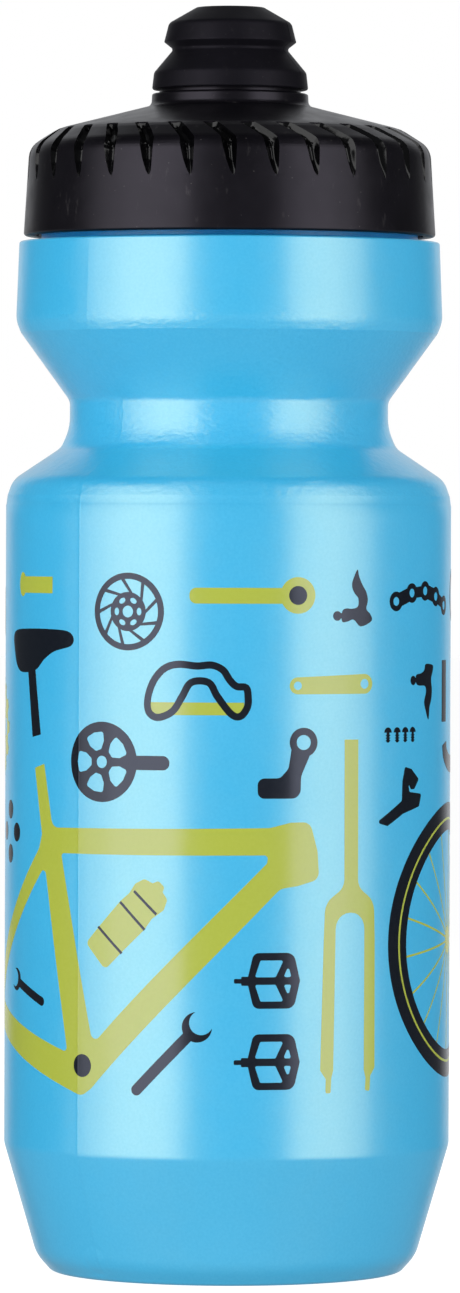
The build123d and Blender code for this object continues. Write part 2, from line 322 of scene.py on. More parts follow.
BODY_R = bottle_high.x / MM - 0.04   # bare wall; the inks make up the rest
BODY_BOTTOM_Z = 21.1
HEEL_R = 30.5
TAPER = atan2(BODY_R - HEEL_R, BODY_BOTTOM_Z)
FOOT_R, FOOT_Z = 28.86, 2.76
STAND_R = 25.0                       # inner edge of the ring that it stands on
BASE_MIDDLE_Z = 3.0                  # the base is raised inside that ring
BASE_EDGE_R, BASE_EDGE_Z = 19.0, 2.6
LINE_LOW_Z, LINE_HIGH_Z = 126.05, 127.6     # two fine lines round the top of the straight body
SHOULDER_TILT = radians(56.5)        # the two slopes' angles against the upright axis
CONE_TILT = atan2(8.1, 11.2)
WAIST_R = 26.2
LEDGE_R, LEDGE_Z = 34.6, 169.4
NECK_R = 31.0
NECK_BORE_R = 29.1
RIM_Z = bottle_high.z / MM
WALL = 1.2
SEAM = radians(-41.0)                # the mould's parting line; its other side is opposite
SEAM_FADES = [(126.0, 1.0), (150.0, 0.4)]
SEAM_COLUMNS = (-0.75, -0.45, -0.28, -0.14, 0.0, 0.14, 0.28, 0.45)     # degrees from a parting line
FLASH_HEIGHT, FLASH_WIDTH = 0.012, 0.13
SINK_DEPTH, SINK_REACH = 0.10, 30.0
THREAD_LEAD = 5.0
THREAD_DEPTH = 0.75
THREAD_START_Z = 171.9
NECK_TURNS = 1.6
LID_TURNS = 1.25
LID_START_TURN = 0.45
THREAD_ZERO = pi / 2                 # azimuth where the ridges are counted from
LID_THREAD_START_Z = THREAD_START_Z + THREAD_LEAD * (LID_START_TURN - 0.5)


def seam_relief(azimuth):
    """Height of the skin over the turned shape near the parting lines: a fine flash, and on the
    front line a shallow sink on its left."""
    height = 0.0
    for line, sink in ((SEAM, SINK_DEPTH), (SEAM + pi, 0.0)):
        away = past(azimuth, line) * BODY_R
        height += FLASH_HEIGHT * exp(-(away / FLASH_WIDTH) ** 2)
        if sink and -SINK_REACH < away < 0:
            height -= sink * (1 - exp(away / 1.3)) * exp(away / 6.0)
    return height


def pinch_ring(azimuth, z):
    """A small round witness mark of the mould, at the foot of the front parting line."""
    mark_r, mark_z, depth = 2.3, 3.6, 0.07
    across = past(azimuth, SEAM) * 31.0
    away = hypot(across + 0.8, z - mark_z)
    return -depth * exp(-((away - mark_r) / 0.45) ** 2)


def thread_height(azimuth, z, start_z, start_turn, turns):
    """How far a screw ridge stands up at a place on its wall, with ends that fade out."""
    turn = ((azimuth - THREAD_ZERO) / (2 * pi) - start_turn) % 1.0
    height = 0.0
    while turn <= turns:
        off = abs(z - start_z - THREAD_LEAD * turn)
        ridge = min(max((1.0 - off) / 0.5, 0), 1)
        end = min(turn, turns - turn) / 0.05
        height = max(height, THREAD_DEPTH * ridge * min(max(end, 0), 1))
        turn += 1.0
    return height


def bottle_corners(inset):
    """Outline of the bottle from its heel to the band, moved inward by inset. The fine lines round the
    shoulder are only on the outside."""
    body_r, waist_r = BODY_R - inset, WAIST_R - inset
    shoulder_shift = inset * tan(SHOULDER_TILT / 2)
    cone_shift = inset * tan(CONE_TILT / 2)
    shoulder = [
        (body_r, LINE_LOW_Z, 0),
        (body_r - 0.05, LINE_LOW_Z + 0.08, 0),
        (body_r - 0.24, LINE_HIGH_Z, 0.1),
        (35.53, 130.18, 7.6),
    ] if inset == 0 else [(body_r, 129.4 - shoulder_shift, 6.0)]
    return [(body_r, BODY_BOTTOM_Z - inset * tan(TAPER / 2), 4.0)] + shoulder + [
        (27.6 - inset, 135.5 - shoulder_shift, 3.0),
        (waist_r, 138.8, 11.0),
        (waist_r, 143.2, 2.4),
        (34.3 - inset, 154.4 + cone_shift, 0.3),
        (35.1 - inset, 156.4 + cone_shift, 9.0),
    ]


def bottle_rows():
    """The bottle's outline from the middle of its base up the outside and back down the inside."""
    outside = [(0, BASE_MIDDLE_Z, 0), (BASE_EDGE_R, BASE_EDGE_Z, 6.0), (STAND_R, 0, 1.0), (FOOT_R, 0, 1.5)]
    outside += [(HEEL_R + FOOT_Z * tan(TAPER), FOOT_Z, 6.0), (HEEL_R + 7.0 * tan(TAPER), 7.0)]
    outside += bottle_corners(0) + [
        (LEDGE_R, LEDGE_Z, 0.4),
        (NECK_R, LEDGE_Z, 0.3),
        (NECK_R, RIM_Z, 0.5),
        (NECK_BORE_R, RIM_Z, 0.4),
    ]
    inner_heel_r = HEEL_R - WALL / cos(TAPER) + WALL * tan(TAPER)
    inside = [(0, BASE_MIDDLE_Z + WALL, 0), (BASE_EDGE_R, BASE_EDGE_Z + WALL, 6.0)]
    inside += [(STAND_R - WALL, WALL, 1.0), (inner_heel_r, WALL, 4.0)]
    inside += bottle_corners(WALL) + [
        (LEDGE_R - WALL, LEDGE_Z - WALL, 1.0),
        (NECK_BORE_R, LEDGE_Z - WALL, 0.8),
    ]

    def longest(r, z):
        on_neck_wall = abs(r - NECK_R) < 0.01 and z > LEDGE_Z
        if on_neck_wall:
            return 0.3
        if r > 27 and z < 7.0:
            return 0.45
        return 2.5 if r > NECK_R - 5 else 4.0

    return divided(rounded(outside + inside[::-1], step=4.5), longest)


def make_bottle():
    rows = bottle_rows()
    fine = [SEAM + side + radians(offset) for side in (0, pi) for offset in SEAM_COLUMNS]
    fine += [SEAM + side * radians(1.2 + 0.7 * k) for side in (1, -1) for k in range(10)]
    azimuths = even_around(300, fine, 0.008)
    inner_rows = max(range(len(rows)), key=lambda k: rows[k][1])

    # the neck above the ledge gets the blue with painted shade
    def paint(row, column):
        r, z = rows[row]
        return int(row < inner_rows and z > LEDGE_Z - 0.1 and r < NECK_R + 0.3)

    def shape(row, column):
        r, z = rows[row]
        azimuth = azimuths[column]
        if row < inner_rows:
            if r > NECK_R - 0.01 and LEDGE_Z + 0.5 < z < RIM_Z:
                r += thread_height(azimuth, z, THREAD_START_Z, 0, NECK_TURNS)
            elif 1.0 < z < LEDGE_Z - 0.5:
                r += seam_relief(azimuth) * between(z, SEAM_FADES) + pinch_ring(azimuth, z)
        return azimuth, r, z

    piece = spun("bottle_skin", rows, len(azimuths), shape, materials=[BLUE, NECK_SHADE_BLUE], paint=paint)
    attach(piece, "bottle")
    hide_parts("bottle_body")


# ---------------- lid

LID_BOTTOM_Z = lid_low.z / MM
LID_R = lid_high.x / MM
LID_BORE_R = NECK_R + THREAD_DEPTH + 0.2
LID_THREAD_TOP_Z = 180.0
LID_SHOULDER_Z = 184.9
LID_TAPER = 0.9          # how much less the skirt's radius is at the shoulder
COLLAR_R = 12.85
COLLAR_TOP_Z = 193.8
GROOVES = 30
TIP_Z = 179.1            # a groove's pointed lower end
ELBOW_Z = 184.3          # where it turns over the shoulder
ELBOW_R = 32.75
CROWN_R = 28.0           # its square upper end, on the edge of the dome
GROOVE_DEPTH = 1.2
ACROSS = (-1.0, -0.82, -0.62, -0.42, -0.21, 0.0, 0.21, 0.42, 0.62, 0.82, 1.0)
LANDS = 5                # columns on the plain wall between two grooves
LAND_HALF = 2.5          # half of a groove's place where there is none, in degrees
NARROW_Z, NARROWING_Z = TIP_Z - 0.7, TIP_Z - 2.2     # where the columns draw together under a tip
DRIFT_ENDS_R = 15.0


def on_lid_thread(r, z):
    return abs(r - LID_BORE_R) < 0.01 and z < LID_THREAD_TOP_Z


def lid_rows():
    """The lid's outline up the outside, over the spout tower and back down the inside."""
    seat_z, plug_r, plug_bottom = 183.4, 28.4, 179.5
    tower_r, tower_top, lip_r = 11.64, 196.8, 10.25
    moat_r, tube_r, tube_top, tube_bore_r = 10.85, 7.6, 201.4, 5.8
    passage_r, hollow_r = 5.2, 12.2

    def wall_r(z):
        return LID_R - LID_TAPER * (z - LID_BOTTOM_Z) / (LID_SHOULDER_Z - LID_BOTTOM_Z)

    corners = [
        (LID_BORE_R, LID_BOTTOM_Z, 0.25),
        (LID_R, LID_BOTTOM_Z, 0.5),
        (wall_r(NARROWING_Z), NARROWING_Z),
        (wall_r(NARROW_Z), NARROW_Z),
        (wall_r(LID_SHOULDER_Z), LID_SHOULDER_Z, 3.4),
        (28.3, 187.9, 6.0),
        (COLLAR_R + 0.1, 191.8, 1.0),
        (COLLAR_R, COLLAR_TOP_Z, 0.35),
        (tower_r, COLLAR_TOP_Z, 0.2),
        (tower_r, tower_top, 0.3),
        (lip_r, tower_top, 0.3),
        (lip_r, tower_top - 0.8, 0.1),
        (moat_r, tower_top - 0.8, 0.1),
        (moat_r, 188.0, 0.3),
        (tube_r, 188.0, 0.3),
        (tube_r, tube_top, 0.4),
        (tube_bore_r, tube_top, 0.4),
        (tube_bore_r, 193.9, 0.1),
        (passage_r, 193.9, 0.1),
        (passage_r, 186.5, 0.3),
        (hollow_r, 186.5, 0.6),
        (hollow_r, 190.1, 1.0),
        (plug_r - 1.2, 186.2, 1.0),
        (plug_r - 1.2, plug_bottom, 0.3),
        (plug_r, plug_bottom, 0.3),
        (plug_r, seat_z, 0.2),
        (LID_BORE_R, seat_z, 0.3),
    ]
    loop = rounded(corners, closed=True, step=9)

    def longest(r, z):
        if NARROW_Z < z < 188.4 and r > CROWN_R - 0.3:
            return 0.19
        if NARROWING_Z < z < TIP_Z and r > LID_BORE_R + 0.5:
            return 0.4
        if on_lid_thread(r, z):
            return 0.4
        return 1.6 if z > 186 and r > COLLAR_R else 2.5

    return divided(loop + loop[:1], longest)[:-1]


def groove_place(r, z):
    """How far along a groove a place is: 0 at the tip, 1 at the elbow and 2 at the square end."""
    if z < ELBOW_Z and r > ELBOW_R - 0.6:
        return (z - TIP_Z) / (ELBOW_Z - TIP_Z)
    return 1 + (ELBOW_R - r) / (ELBOW_R - CROWN_R)


GROOVE_DRIFT = [(0.0, 1.0), (0.5, 0.35), (0.9, 0.0), (1.1, -0.35), (1.5, -2.9), (2.0, -6.8)]
GROOVE_HALF_WIDTH = [(0.0, 0.12), (0.15, 0.8), (0.5, 1.45), (1.0, 2.1), (1.5, 2.3), (2.0, 2.5)]
GROOVE_RUN_OUT = [(0.0, 0.0), (0.15, 0.2), (0.5, 0.75), (0.8, 1.0), (1.6, 1.0), (1.93, 0.75), (1.995, 0.0)]


def groove_look(r, z, outside):
    """What a row of the lid takes from the grooves: the turn of its columns and half a groove's width, both
    in degrees, the depth, and whether the row is in a groove."""
    if not outside:
        return 0.0, LAND_HALF, 0.0, False
    p = groove_place(r, z)
    if p < 0:
        drift = between(z, [(LID_BOTTOM_Z, 0.0), (TIP_Z, 1.0)])
        return drift, between(p, [(-0.10, 2.0), (0.0, 0.12)]), 0.0, False
    if p > 2:
        inward = max(0, (r - DRIFT_ENDS_R) / (CROWN_R - DRIFT_ENDS_R))
        return GROOVE_DRIFT[-1][1] * inward, LAND_HALF, 0.0, False
    depth = GROOVE_DEPTH * between(p, GROOVE_RUN_OUT)
    return between(p, GROOVE_DRIFT), between(p, GROOVE_HALF_WIDTH), depth, True


def make_lid():
    rows = lid_rows()
    count = len(rows)
    inner_start = next(k for k, (r, z) in enumerate(rows) if z > COLLAR_TOP_Z - 0.1)
    per_period = len(ACROSS) + LANDS
    period = 2 * pi / GROOVES
    looks = [groove_look(r, z, k < inner_start and z > LID_BOTTOM_Z + 0.2) for k, (r, z) in enumerate(rows)]
    normals = []
    for k in range(count):
        before, after = rows[k - 1], rows[(k + 1) % count]
        along = Vector((after[0] - before[0], after[1] - before[1])).normalized()
        normals.append(Vector((along.y, -along.x)))

    def shape(row, column):
        r, z = rows[row]
        drift, half, depth, _ = looks[row]
        groove, place = divmod(column, per_period)
        if place < len(ACROSS):
            offset = ACROSS[place] * half
            sunk = depth * (1 - ACROSS[place] ** 2)
        else:
            land = degrees(period) - 2 * half
            offset = half + land * (place - len(ACROSS) + 1) / (LANDS + 1)
            sunk = 0.0
        azimuth = groove * period + radians(offset + drift)
        if on_lid_thread(r, z):
            r -= thread_height(azimuth, z, LID_THREAD_START_Z, LID_START_TURN, LID_TURNS)
        return azimuth, r - normals[row].x * sunk, z - normals[row].y * sunk

    # groove faces take the polished black, whose darker base is painted shade
    def paint(row, column):
        in_groove = looks[row][3] and looks[(row + 1) % count][3]
        return int(in_groove and column % per_period < len(ACROSS) - 1)

    piece = spun("lid_moulding", rows, GROOVES * per_period, shape, closed=True,
                 materials=[LID_BLACK, GROOVE_POLISH_AND_SHADE], paint=paint, sharp=30)
    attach(piece, "lid")
    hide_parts("lid_shell")


# ---------------- nozzle

NOZZLE_SEAM = radians(67.0)


def make_mouthpiece():
    """The soft skin of the nozzle, very slightly out of round, with a fine parting line on two sides."""
    bottom, top = mouth_low.z / MM, mouth_high.z / MM
    lip_top = 204.6
    corners = [
        (11.75, bottom, 0.3),
        (12.87, bottom, 0.35),
        (12.55, 197.25, 1.1),
        (9.35, 201.1, 0.5),
        (10.88, 202.3, 0.18),
        (10.1, 205.4, 1.2),
        (5.6, top, 0.5),
        (4.6, top, 0.35),
        (4.2, lip_top, 0.1),
        (8.6, lip_top, 0.1),
        (9.3, 204.0, 0.1),
        (9.3, 202.9, 0.1),
        (8.6, 202.4, 0.1),
        (8.6, 200.0, 0.4),
        (10.1, 198.0, 0.4),
        (10.1, 197.0, 0.1),
        (11.75, 197.0, 0.3),
    ]
    loop = rounded(corners, closed=True, step=7)
    rows = divided(loop + loop[:1], lambda r, z: 0.5)[:-1]
    seams = (NOZZLE_SEAM, NOZZLE_SEAM + pi)
    fine = [NOZZLE_SEAM + side + radians(0.5 * k) for side in (0, pi) for k in (-2, -1, 0, 1, 2)]
    azimuths = even_around(240, fine, 0.012)

    def shape(row, column):
        r, z = rows[row]
        azimuth = azimuths[column]
        outer = z > lip_top or r > 9.44 and not (r < 11.8 and z < 198.2)
        if outer:
            away = min(abs(past(azimuth, line)) for line in seams)
            if r < 12.6:
                r += 0.05 * exp(-(away / radians(0.45)) ** 2)
            if 201 < z < 206:
                r += 0.012 * sin(3 * azimuth + 0.5)
        return azimuth, r, z

    piece = spun("nozzle_skin", rows, len(azimuths), shape, closed=True, materials=[SOFT_BLACK])
    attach(piece, "nozzle")
    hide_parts("nozzle_mouthpiece")


def dress_cad_nodes():
    """Materials for the CAD pieces that are shown as they are."""
    for node, material in (
        ("lid_seal", SEAL_PALE),
        ("spout_stopper", CORE_BLACK),
        ("nozzle_core", CORE_BLACK),
        ("nozzle_o_ring", RING_BLACK),
        ("slit_valve", VALVE_PALE),
    ):
        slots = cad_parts[node].data.materials
        slots.clear()
        slots.append(material)


# ---------------- prints
# A print is drawn flat in millimetres: u runs round the bottle from the front, positive to the
# right, and z is the height above the table.

INK_BACK_R = BODY_R - 0.02
INK_R = {"lime": BODY_R + 0.015, "black": BODY_R + 0.030, "lime_over": BODY_R + 0.038}
INKS = {"lime": LIME_INK, "black": BLACK_INK, "lime_over": LIME_INK}
GRID = 1.0               # an ink film bends at least this often, in millimetres


def disc(u, z, r, start=0.0, sweep=360.0):
    """A round outline, or only an arc of it from start degrees through sweep degrees."""
    count = max(18, round(2 * pi * r / 0.45))
    if sweep < 360:
        count = max(3, round(count * sweep / 360))
    angles = [radians(start + sweep * k / count) for k in range(count if sweep >= 360 else count + 1)]
    return [(u + r * cos(a), z + r * sin(a)) for a in angles]


def turned_by(points, u, z, angle):
    """Points turned about the origin by an angle in degrees and moved to (u, z)."""
    c, s = cos(radians(angle)), sin(radians(angle))
    return [(u + x * c - y * s, z + x * s + y * c) for x, y in points]


def oval(u, z, a, b, lean=0.0):
    return turned_by([(a * x, b * y) for x, y in disc(0, 0, 1.0)], u, z, lean)


def shape_of(points, rounding=0.0):
    """A closed outline, with all its corners rounded alike or each by its own third number."""
    rows = [(*p, rounding) if len(p) == 2 else p for p in points]
    return rounded(rows, closed=True, step=14)


def block(u0, z0, u1, z1, rounding=0.0):
    return shape_of([(u0, z0), (u1, z0), (u1, z1), (u0, z1)], rounding)


def bar(u0, z0, u1, z1, width, ends=0.0):
    """A straight strip from one point to another, with its ends rounded by ends."""
    along = Vector((u1 - u0, z1 - z0)).normalized() * width / 2
    side = Vector((-along.y, along.x))
    a, b = Vector((u0, z0)), Vector((u1, z1))
    corners = [a - side, b - side, b + side, a + side]
    return shape_of([tuple(c) for c in corners], ends)


def curved(points, closed=True, parts=6):
    """A smooth line through the points."""
    count = len(points)
    line = []
    for k in range(count if closed else count - 1):
        near = [(k + j) % count if closed else min(max(k + j, 0), count - 1) for j in (-1, 0, 1, 2)]
        p = [Vector(points[n]) for n in near]
        for step in range(parts):
            t = step / parts
            spot = (2 * p[1] + (p[2] - p[0]) * t + (2 * p[0] - 5 * p[1] + 4 * p[2] - p[3]) * t ** 2
                    + (3 * p[1] - p[0] - 3 * p[2] + p[3]) * t ** 3) / 2
            line.append(tuple(spot))
    return line if closed else line + [tuple(points[-1])]


def beside(line, distance, closed=True):
    """A line at one side of another."""
    out = []
    count = len(line)
    for k, point in enumerate(line):
        before = line[k - 1] if closed or k else line[0]
        after = line[(k + 1) % count] if closed or k < count - 1 else line[-1]
        along = (Vector(after) - Vector(before)).normalized()
        out.append((point[0] - along.y * distance, point[1] + along.x * distance))
    return out


def stroke(points, width):
    """An open smooth line drawn with a broad pen."""
    line = curved(points, closed=False)
    return beside(line, width / 2, False) + beside(line, -width / 2, False)[::-1]


def anticlockwise(loop):
    area = sum(x0 * y1 - x1 * y0 for (x0, y0), (x1, y1) in zip(loop, loop[1:] + loop[:1]))
    return loop if area > 0 else loop[::-1]


def print_piece(name, colour, solids, holes=()):
    """One film of ink on the bottle: the solids' union less the holes."""
    loops = [anticlockwise(loop) for loop in [*solids, *holes]]
    coords = [Vector(p) for loop in loops for p in loop]
    edges, faces, start = [], [], 0
    for loop in loops:
        faces.append(list(range(start, start + len(loop))))
        start += len(loop)
    low_u, high_u = min(p.x for p in coords), max(p.x for p in coords)
    low_z, high_z = min(p.y for p in coords) - 1, max(p.y for p in coords) + 1
    folds = [k * GRID for k in range(int(low_u / GRID) - 1, int(high_u / GRID) + 2)]
    folds += [BODY_R * (SEAM + radians(offset)) for offset in SEAM_COLUMNS]
    for fold in folds:
        if low_u < fold < high_u:
            edges.append((len(coords), len(coords) + 1))
            coords += [Vector((fold, low_z)), Vector((fold, high_z))]
    flat, _, tris, _, _, origin = delaunay_2d_cdt(coords, edges, faces, 0, 1e-4)
    kept = [tri for tri, owners in zip(tris, origin)
            if any(o < len(solids) for o in owners) and not any(o >= len(solids) for o in owners)]
    used = sorted({v for tri in kept for v in tri})
    number = {v: k for k, v in enumerate(used)}
    count = len(used)
    verts, normals = [], []
    for radius in (INK_R[colour], INK_BACK_R):
        for v in used:
            azimuth = flat[v].x / BODY_R
            r = radius + seam_relief(azimuth)
            slope = (seam_relief(azimuth + 0.001) - seam_relief(azimuth - 0.001)) / (0.002 * BODY_R)
            x, y = sin(azimuth), -cos(azimuth)
            verts.append((r * x, r * y, flat[v].y))
            normals.append(Vector((x + slope * y, y - slope * x, 0)))
    outer = [[number[v] for v in tri] for tri in kept]
    border = {}
    for tri in outer:
        for a, b in zip(tri, tri[1:] + tri[:1]):
            if border.pop((b, a), None) is None:
                border[(a, b)] = True
    shell = outer + [[v + count for v in tri[::-1]] for tri in outer]
    shell += [[b, a, a + count, b + count] for a, b in border]
    piece = mesh_object("print_" + name, verts, shell, sharp=0, materials=[INKS[colour]])
    piece.data.normals_split_custom_set_from_vertices([n.normalized() for n in normals])
    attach(piece, "bottle")


def rotor_windows(u, z, inner, outer, count, spoke, lean):
    """Openings between a brake disc's slanted spokes."""
    windows = []
    for k in range(count):
        start, end = 360 * k / count, 360 * (k + 1) / count
        gap_in, gap_out = degrees(spoke / 2 / inner), degrees(spoke / 2 / outer)
        low = disc(u, z, inner, start + gap_in, end - start - 2 * gap_in)
        high = disc(u, z, outer, start + lean + gap_out, end - start - 2 * gap_out)
        windows.append(low + high[::-1])
    return windows


def wheel(name, u, z):
    """A wheel in lime and black: tyre, pinstripe, spokes and hub."""
    spokes = 18
    print_piece(name + "_tyre", "black", [disc(u, z, 22.55)], [disc(u, z, 18.0)])
    print_piece(name + "_pinstripe", "lime_over", [disc(u, z, 20.1)], [disc(u, z, 19.7)])
    arms = []
    for k in range(spokes):
        a = radians(6.5 + 360 * k / spokes)
        arms.append(bar(u + 2.1 * cos(a), z + 2.1 * sin(a), u + 17.97 * cos(a), z + 17.97 * sin(a), 0.34))
    print_piece(name + "_spokes", "lime", arms + [disc(u, z, 2.3)])


def spanner(u0, z0, u1, z1, width, head):
    """An open-ended spanner: a handle from its round end to the middle of its head, and a round mouth."""
    lean = atan2(z1 - z0, u1 - u0)
    mouth = disc(u1 + 0.4 * head * cos(lean), z1 + 0.4 * head * sin(lean), 0.8 * head)
    return [bar(u0, z0, u1, z1, width, width * 0.49), disc(u1, z1, head)], [mouth]


def chain(name, u, z, count, wave, turn):
    """A run of chain links whose line waves up and down, by turn radians from one pin to the next."""
    pins = [(u + 4.15 * k, z + wave * sin(turn * k)) for k in range(count)]
    plates = [disc(*pin, 1.6) for pin in pins]
    plates += [bar(*a, *b, 1.75 if k % 2 else 2.3) for k, (a, b) in enumerate(zip(pins, pins[1:]))]
    print_piece(name, "black", plates, [disc(*pin, 0.72) for pin in pins])


def pedal(name, mid):
    """A pedal with its axle to the left and two pairs of openings in its cage."""
    cage = [(4.3, 4.5, 1.1), (10.9, 4.5, 1.5), (11.95, 0.0, 0.5), (10.9, -4.45, 1.5), (4.3, -4.45, 1.1),
            (3.25, 0.0, 0.4)]
    solids = [
        shape_of([(u, mid + z, r) for u, z, r in cage]),
        block(1.15, mid - 0.4, 3.6, mid + 0.35, 0.2),
        block(2.3, mid - 0.75, 4.2, mid + 0.7, 0.2),
    ]
    large_gap = [(5.4, 3.3), (9.2, 3.3), (7.9, 0.6), (4.5, 0.6)]
    small_gap = [(10.0, 2.5), (10.5, 0.6), (9.2, 0.6)]
    gaps = [shape_of([(u, mid + side * z) for u, z in gap], 0.25)
            for gap in (large_gap, small_gap) for side in (1, -1)]
    print_piece(name, "black", solids, gaps)


def top_row_prints():
    print_piece("bar_plug", "lime", [oval(-42.1, 113.1, 1.3, 2.0), block(-42.0, 111.7, -32.6, 114.4)])

    u, z = -16.7, 108.9
    holes = rotor_windows(u, z, 3.15, 5.25, 9, 0.62, 20)
    holes += [oval(u + 2.0 * cos(radians(60 * k)), z + 2.0 * sin(radians(60 * k)), 0.62, 0.42, 60 * k + 90)
              for k in range(6)]
    print_piece("brake_disc", "black", [disc(u, z, 6.25)], holes + [disc(u, z, 0.95)])

    print_piece("lever_arm", "lime", [block(-6.25, 110.25, 11.0, 112.8, 1.1), disc(11.4, 111.6, 2.95)])
    print_piece("lever_pivot", "black", [disc(11.4, 111.6, 1.53)])

    lever = curved([(22.1, 115.75), (21.2, 114.0), (21.1, 112.9), (21.6, 111.9), (22.3, 111.1), (22.2, 109.8),
                    (21.0, 109.45), (19.9, 109.5), (19.2, 109.0), (19.2, 107.4), (20.2, 107.4), (21.4, 107.7),
                    (22.8, 106.6), (25.0, 107.5), (24.7, 108.6), (23.9, 109.4), (24.2, 110.8), (23.9, 112.1),
                    (23.1, 113.3), (22.4, 114.7)], parts=4)
    print_piece("brake_lever_upper", "black",
                [lever, disc(18.3, 108.3, 0.78), block(18.5, 107.9, 19.6, 108.75)])

    chain("chain_links", 30.6, 110.6, 5, 1.7, 0.9)


def left_rows_prints():
    saddle = curved([(-46.3, 104.6), (-44.7, 105.6), (-39.8, 105.9), (-33.3, 105.9), (-28.9, 105.6),
                     (-27.5, 104.5), (-28.2, 103.2), (-32.1, 102.3), (-34.8, 101.0), (-37.5, 99.2),
                     (-42.3, 98.8), (-44.6, 99.9), (-45.9, 102.4)])
    post = [(-40.1, 100.0), (-38.3, 88.3), (-35.75, 88.75), (-37.6, 100.0)]
    print_piece("saddle_and_post", "black", [saddle, post])

    rim = curved([(-13.2, 93.9), (-12.9, 96.0), (-11.9, 98.2), (-10.2, 99.9), (-8.0, 100.5), (-5.0, 100.25),
                  (-2.6, 100.4), (-0.8, 99.6), (0.3, 98.0), (1.4, 97.0), (2.9, 96.8), (3.25, 95.3),
                  (3.1, 93.6), (2.0, 92.2), (0.5, 92.6), (-1.7, 95.4), (-3.1, 97.6), (-5.9, 97.6),
                  (-7.4, 95.3), (-8.9, 93.0), (-11.2, 91.95), (-12.7, 92.5)])
    print_piece("goggles_rim", "black", [beside(rim, 0.58)], [beside(rim, -0.58)])
    print_piece("goggles_strap", "lime", [block(-12.9, 92.35, 2.6, 94.4)])

    print_piece("chain_link_large", "lime",
                [disc(11.4, 97.1, 1.37), disc(23.6, 97.35, 1.6),
                 [(11.4, 95.73), (23.6, 95.75), (23.6, 98.95), (11.4, 98.47)]],
                [disc(11.4, 97.1, 0.68), disc(23.6, 97.35, 0.8)])

    u, z = -21.47, 84.65
    petal = [(2.0, -0.55), (3.1, -1.45), (4.6, -1.75), (4.95, 0.0), (4.6, 1.75), (3.1, 1.45), (2.0, 0.55)]
    petals = [shape_of(turned_by(petal, u, z, 36 + 72 * k), 0.45) for k in range(5)]
    print_piece("chainring", "black", [disc(u, z, 6.47), bar(-18.0, 84.6, -9.45, 84.6, 2.3, 1.1)],
                petals + [disc(u, z, 1.0)])


def right_rows_prints():
    stem = [(10.4, 87.0, 0), (9.9, 83.8, 1.4), (8.5, 82.25, 1.2), (4.85, 82.25, 1.1), (4.85, 79.0, 1.1),
            (11.9, 79.0, 1.5), (12.0, 82.6, 2.5), (13.7, 86.4, 0)]
    print_piece("stem", "black", [shape_of(stem), disc(12.44, 88.0, 2.37)], [disc(12.44, 88.0, 1.22)])

    fork = [(19.75, 88.4, 0), (19.8, 64.6, 2.5), (16.3, 62.2, 3.2), (16.05, 56.0, 3.0), (15.5, 35.2, 0.5),
            (16.5, 33.8, 0.3), (16.45, 31.55, 0.3), (17.4, 31.5, 0.3), (17.5, 33.9, 0.2), (17.85, 35.2, 0.3),
            (18.25, 60.5, 2.6), (23.75, 60.5, 2.6), (23.75, 35.1, 0.3), (24.1, 33.8, 0.2), (24.0, 31.8, 0.3),
            (24.95, 31.6, 0.3), (25.1, 34.1, 0.3), (26.0, 35.4, 0.5), (25.95, 56.0, 3.0), (25.75, 62.3, 3.2),
            (22.45, 64.6, 2.5), (22.4, 88.4, 0)]
    print_piece("fork", "lime", [shape_of(fork)])

    bolts = []                 # each with a domed head and a screw thread
    for u in (28.75, 30.95, 33.05, 35.1):
        bolts.append(disc(u, 89.4, 0.85, 0, 180))
        bolts.append(block(u - 0.32, 87.8, u + 0.32, 89.5, 0.15))
        bolts += [block(u - 0.5, 88.0 + 0.42 * k, u + 0.5, 88.2 + 0.42 * k) for k in range(3)]
    print_piece("bolts", "black", bolts)

    lever = curved([(39.2, 100.36), (41.7, 100.2), (41.9, 99.4), (41.2, 97.9), (41.5, 96.2), (41.3, 94.7),
                    (40.6, 93.3), (40.2, 91.3), (39.1, 93.0), (38.7, 94.3), (39.3, 95.8), (38.9, 96.8),
                    (37.0, 96.9), (36.1, 97.3), (36.1, 98.6), (37.7, 98.9), (38.7, 99.4)], parts=4)
    print_piece("brake_lever_lower", "black", [lever, disc(35.2, 97.75, 0.76), block(35.4, 97.4, 36.5, 98.2)])

    shifter = [(33.0, 83.8), (34.8, 83.4), (37.0, 81.7), (35.6, 80.1), (34.65, 80.1), (33.9, 81.2),
               (34.2, 79.7), (37.8, 79.3), (37.1, 77.3), (32.5, 76.2), (28.7, 74.3), (26.2, 74.9),
               (32.2, 78.3), (32.35, 81.5)]
    print_piece("shifter", "black", [shape_of(shifter, 0.35)])


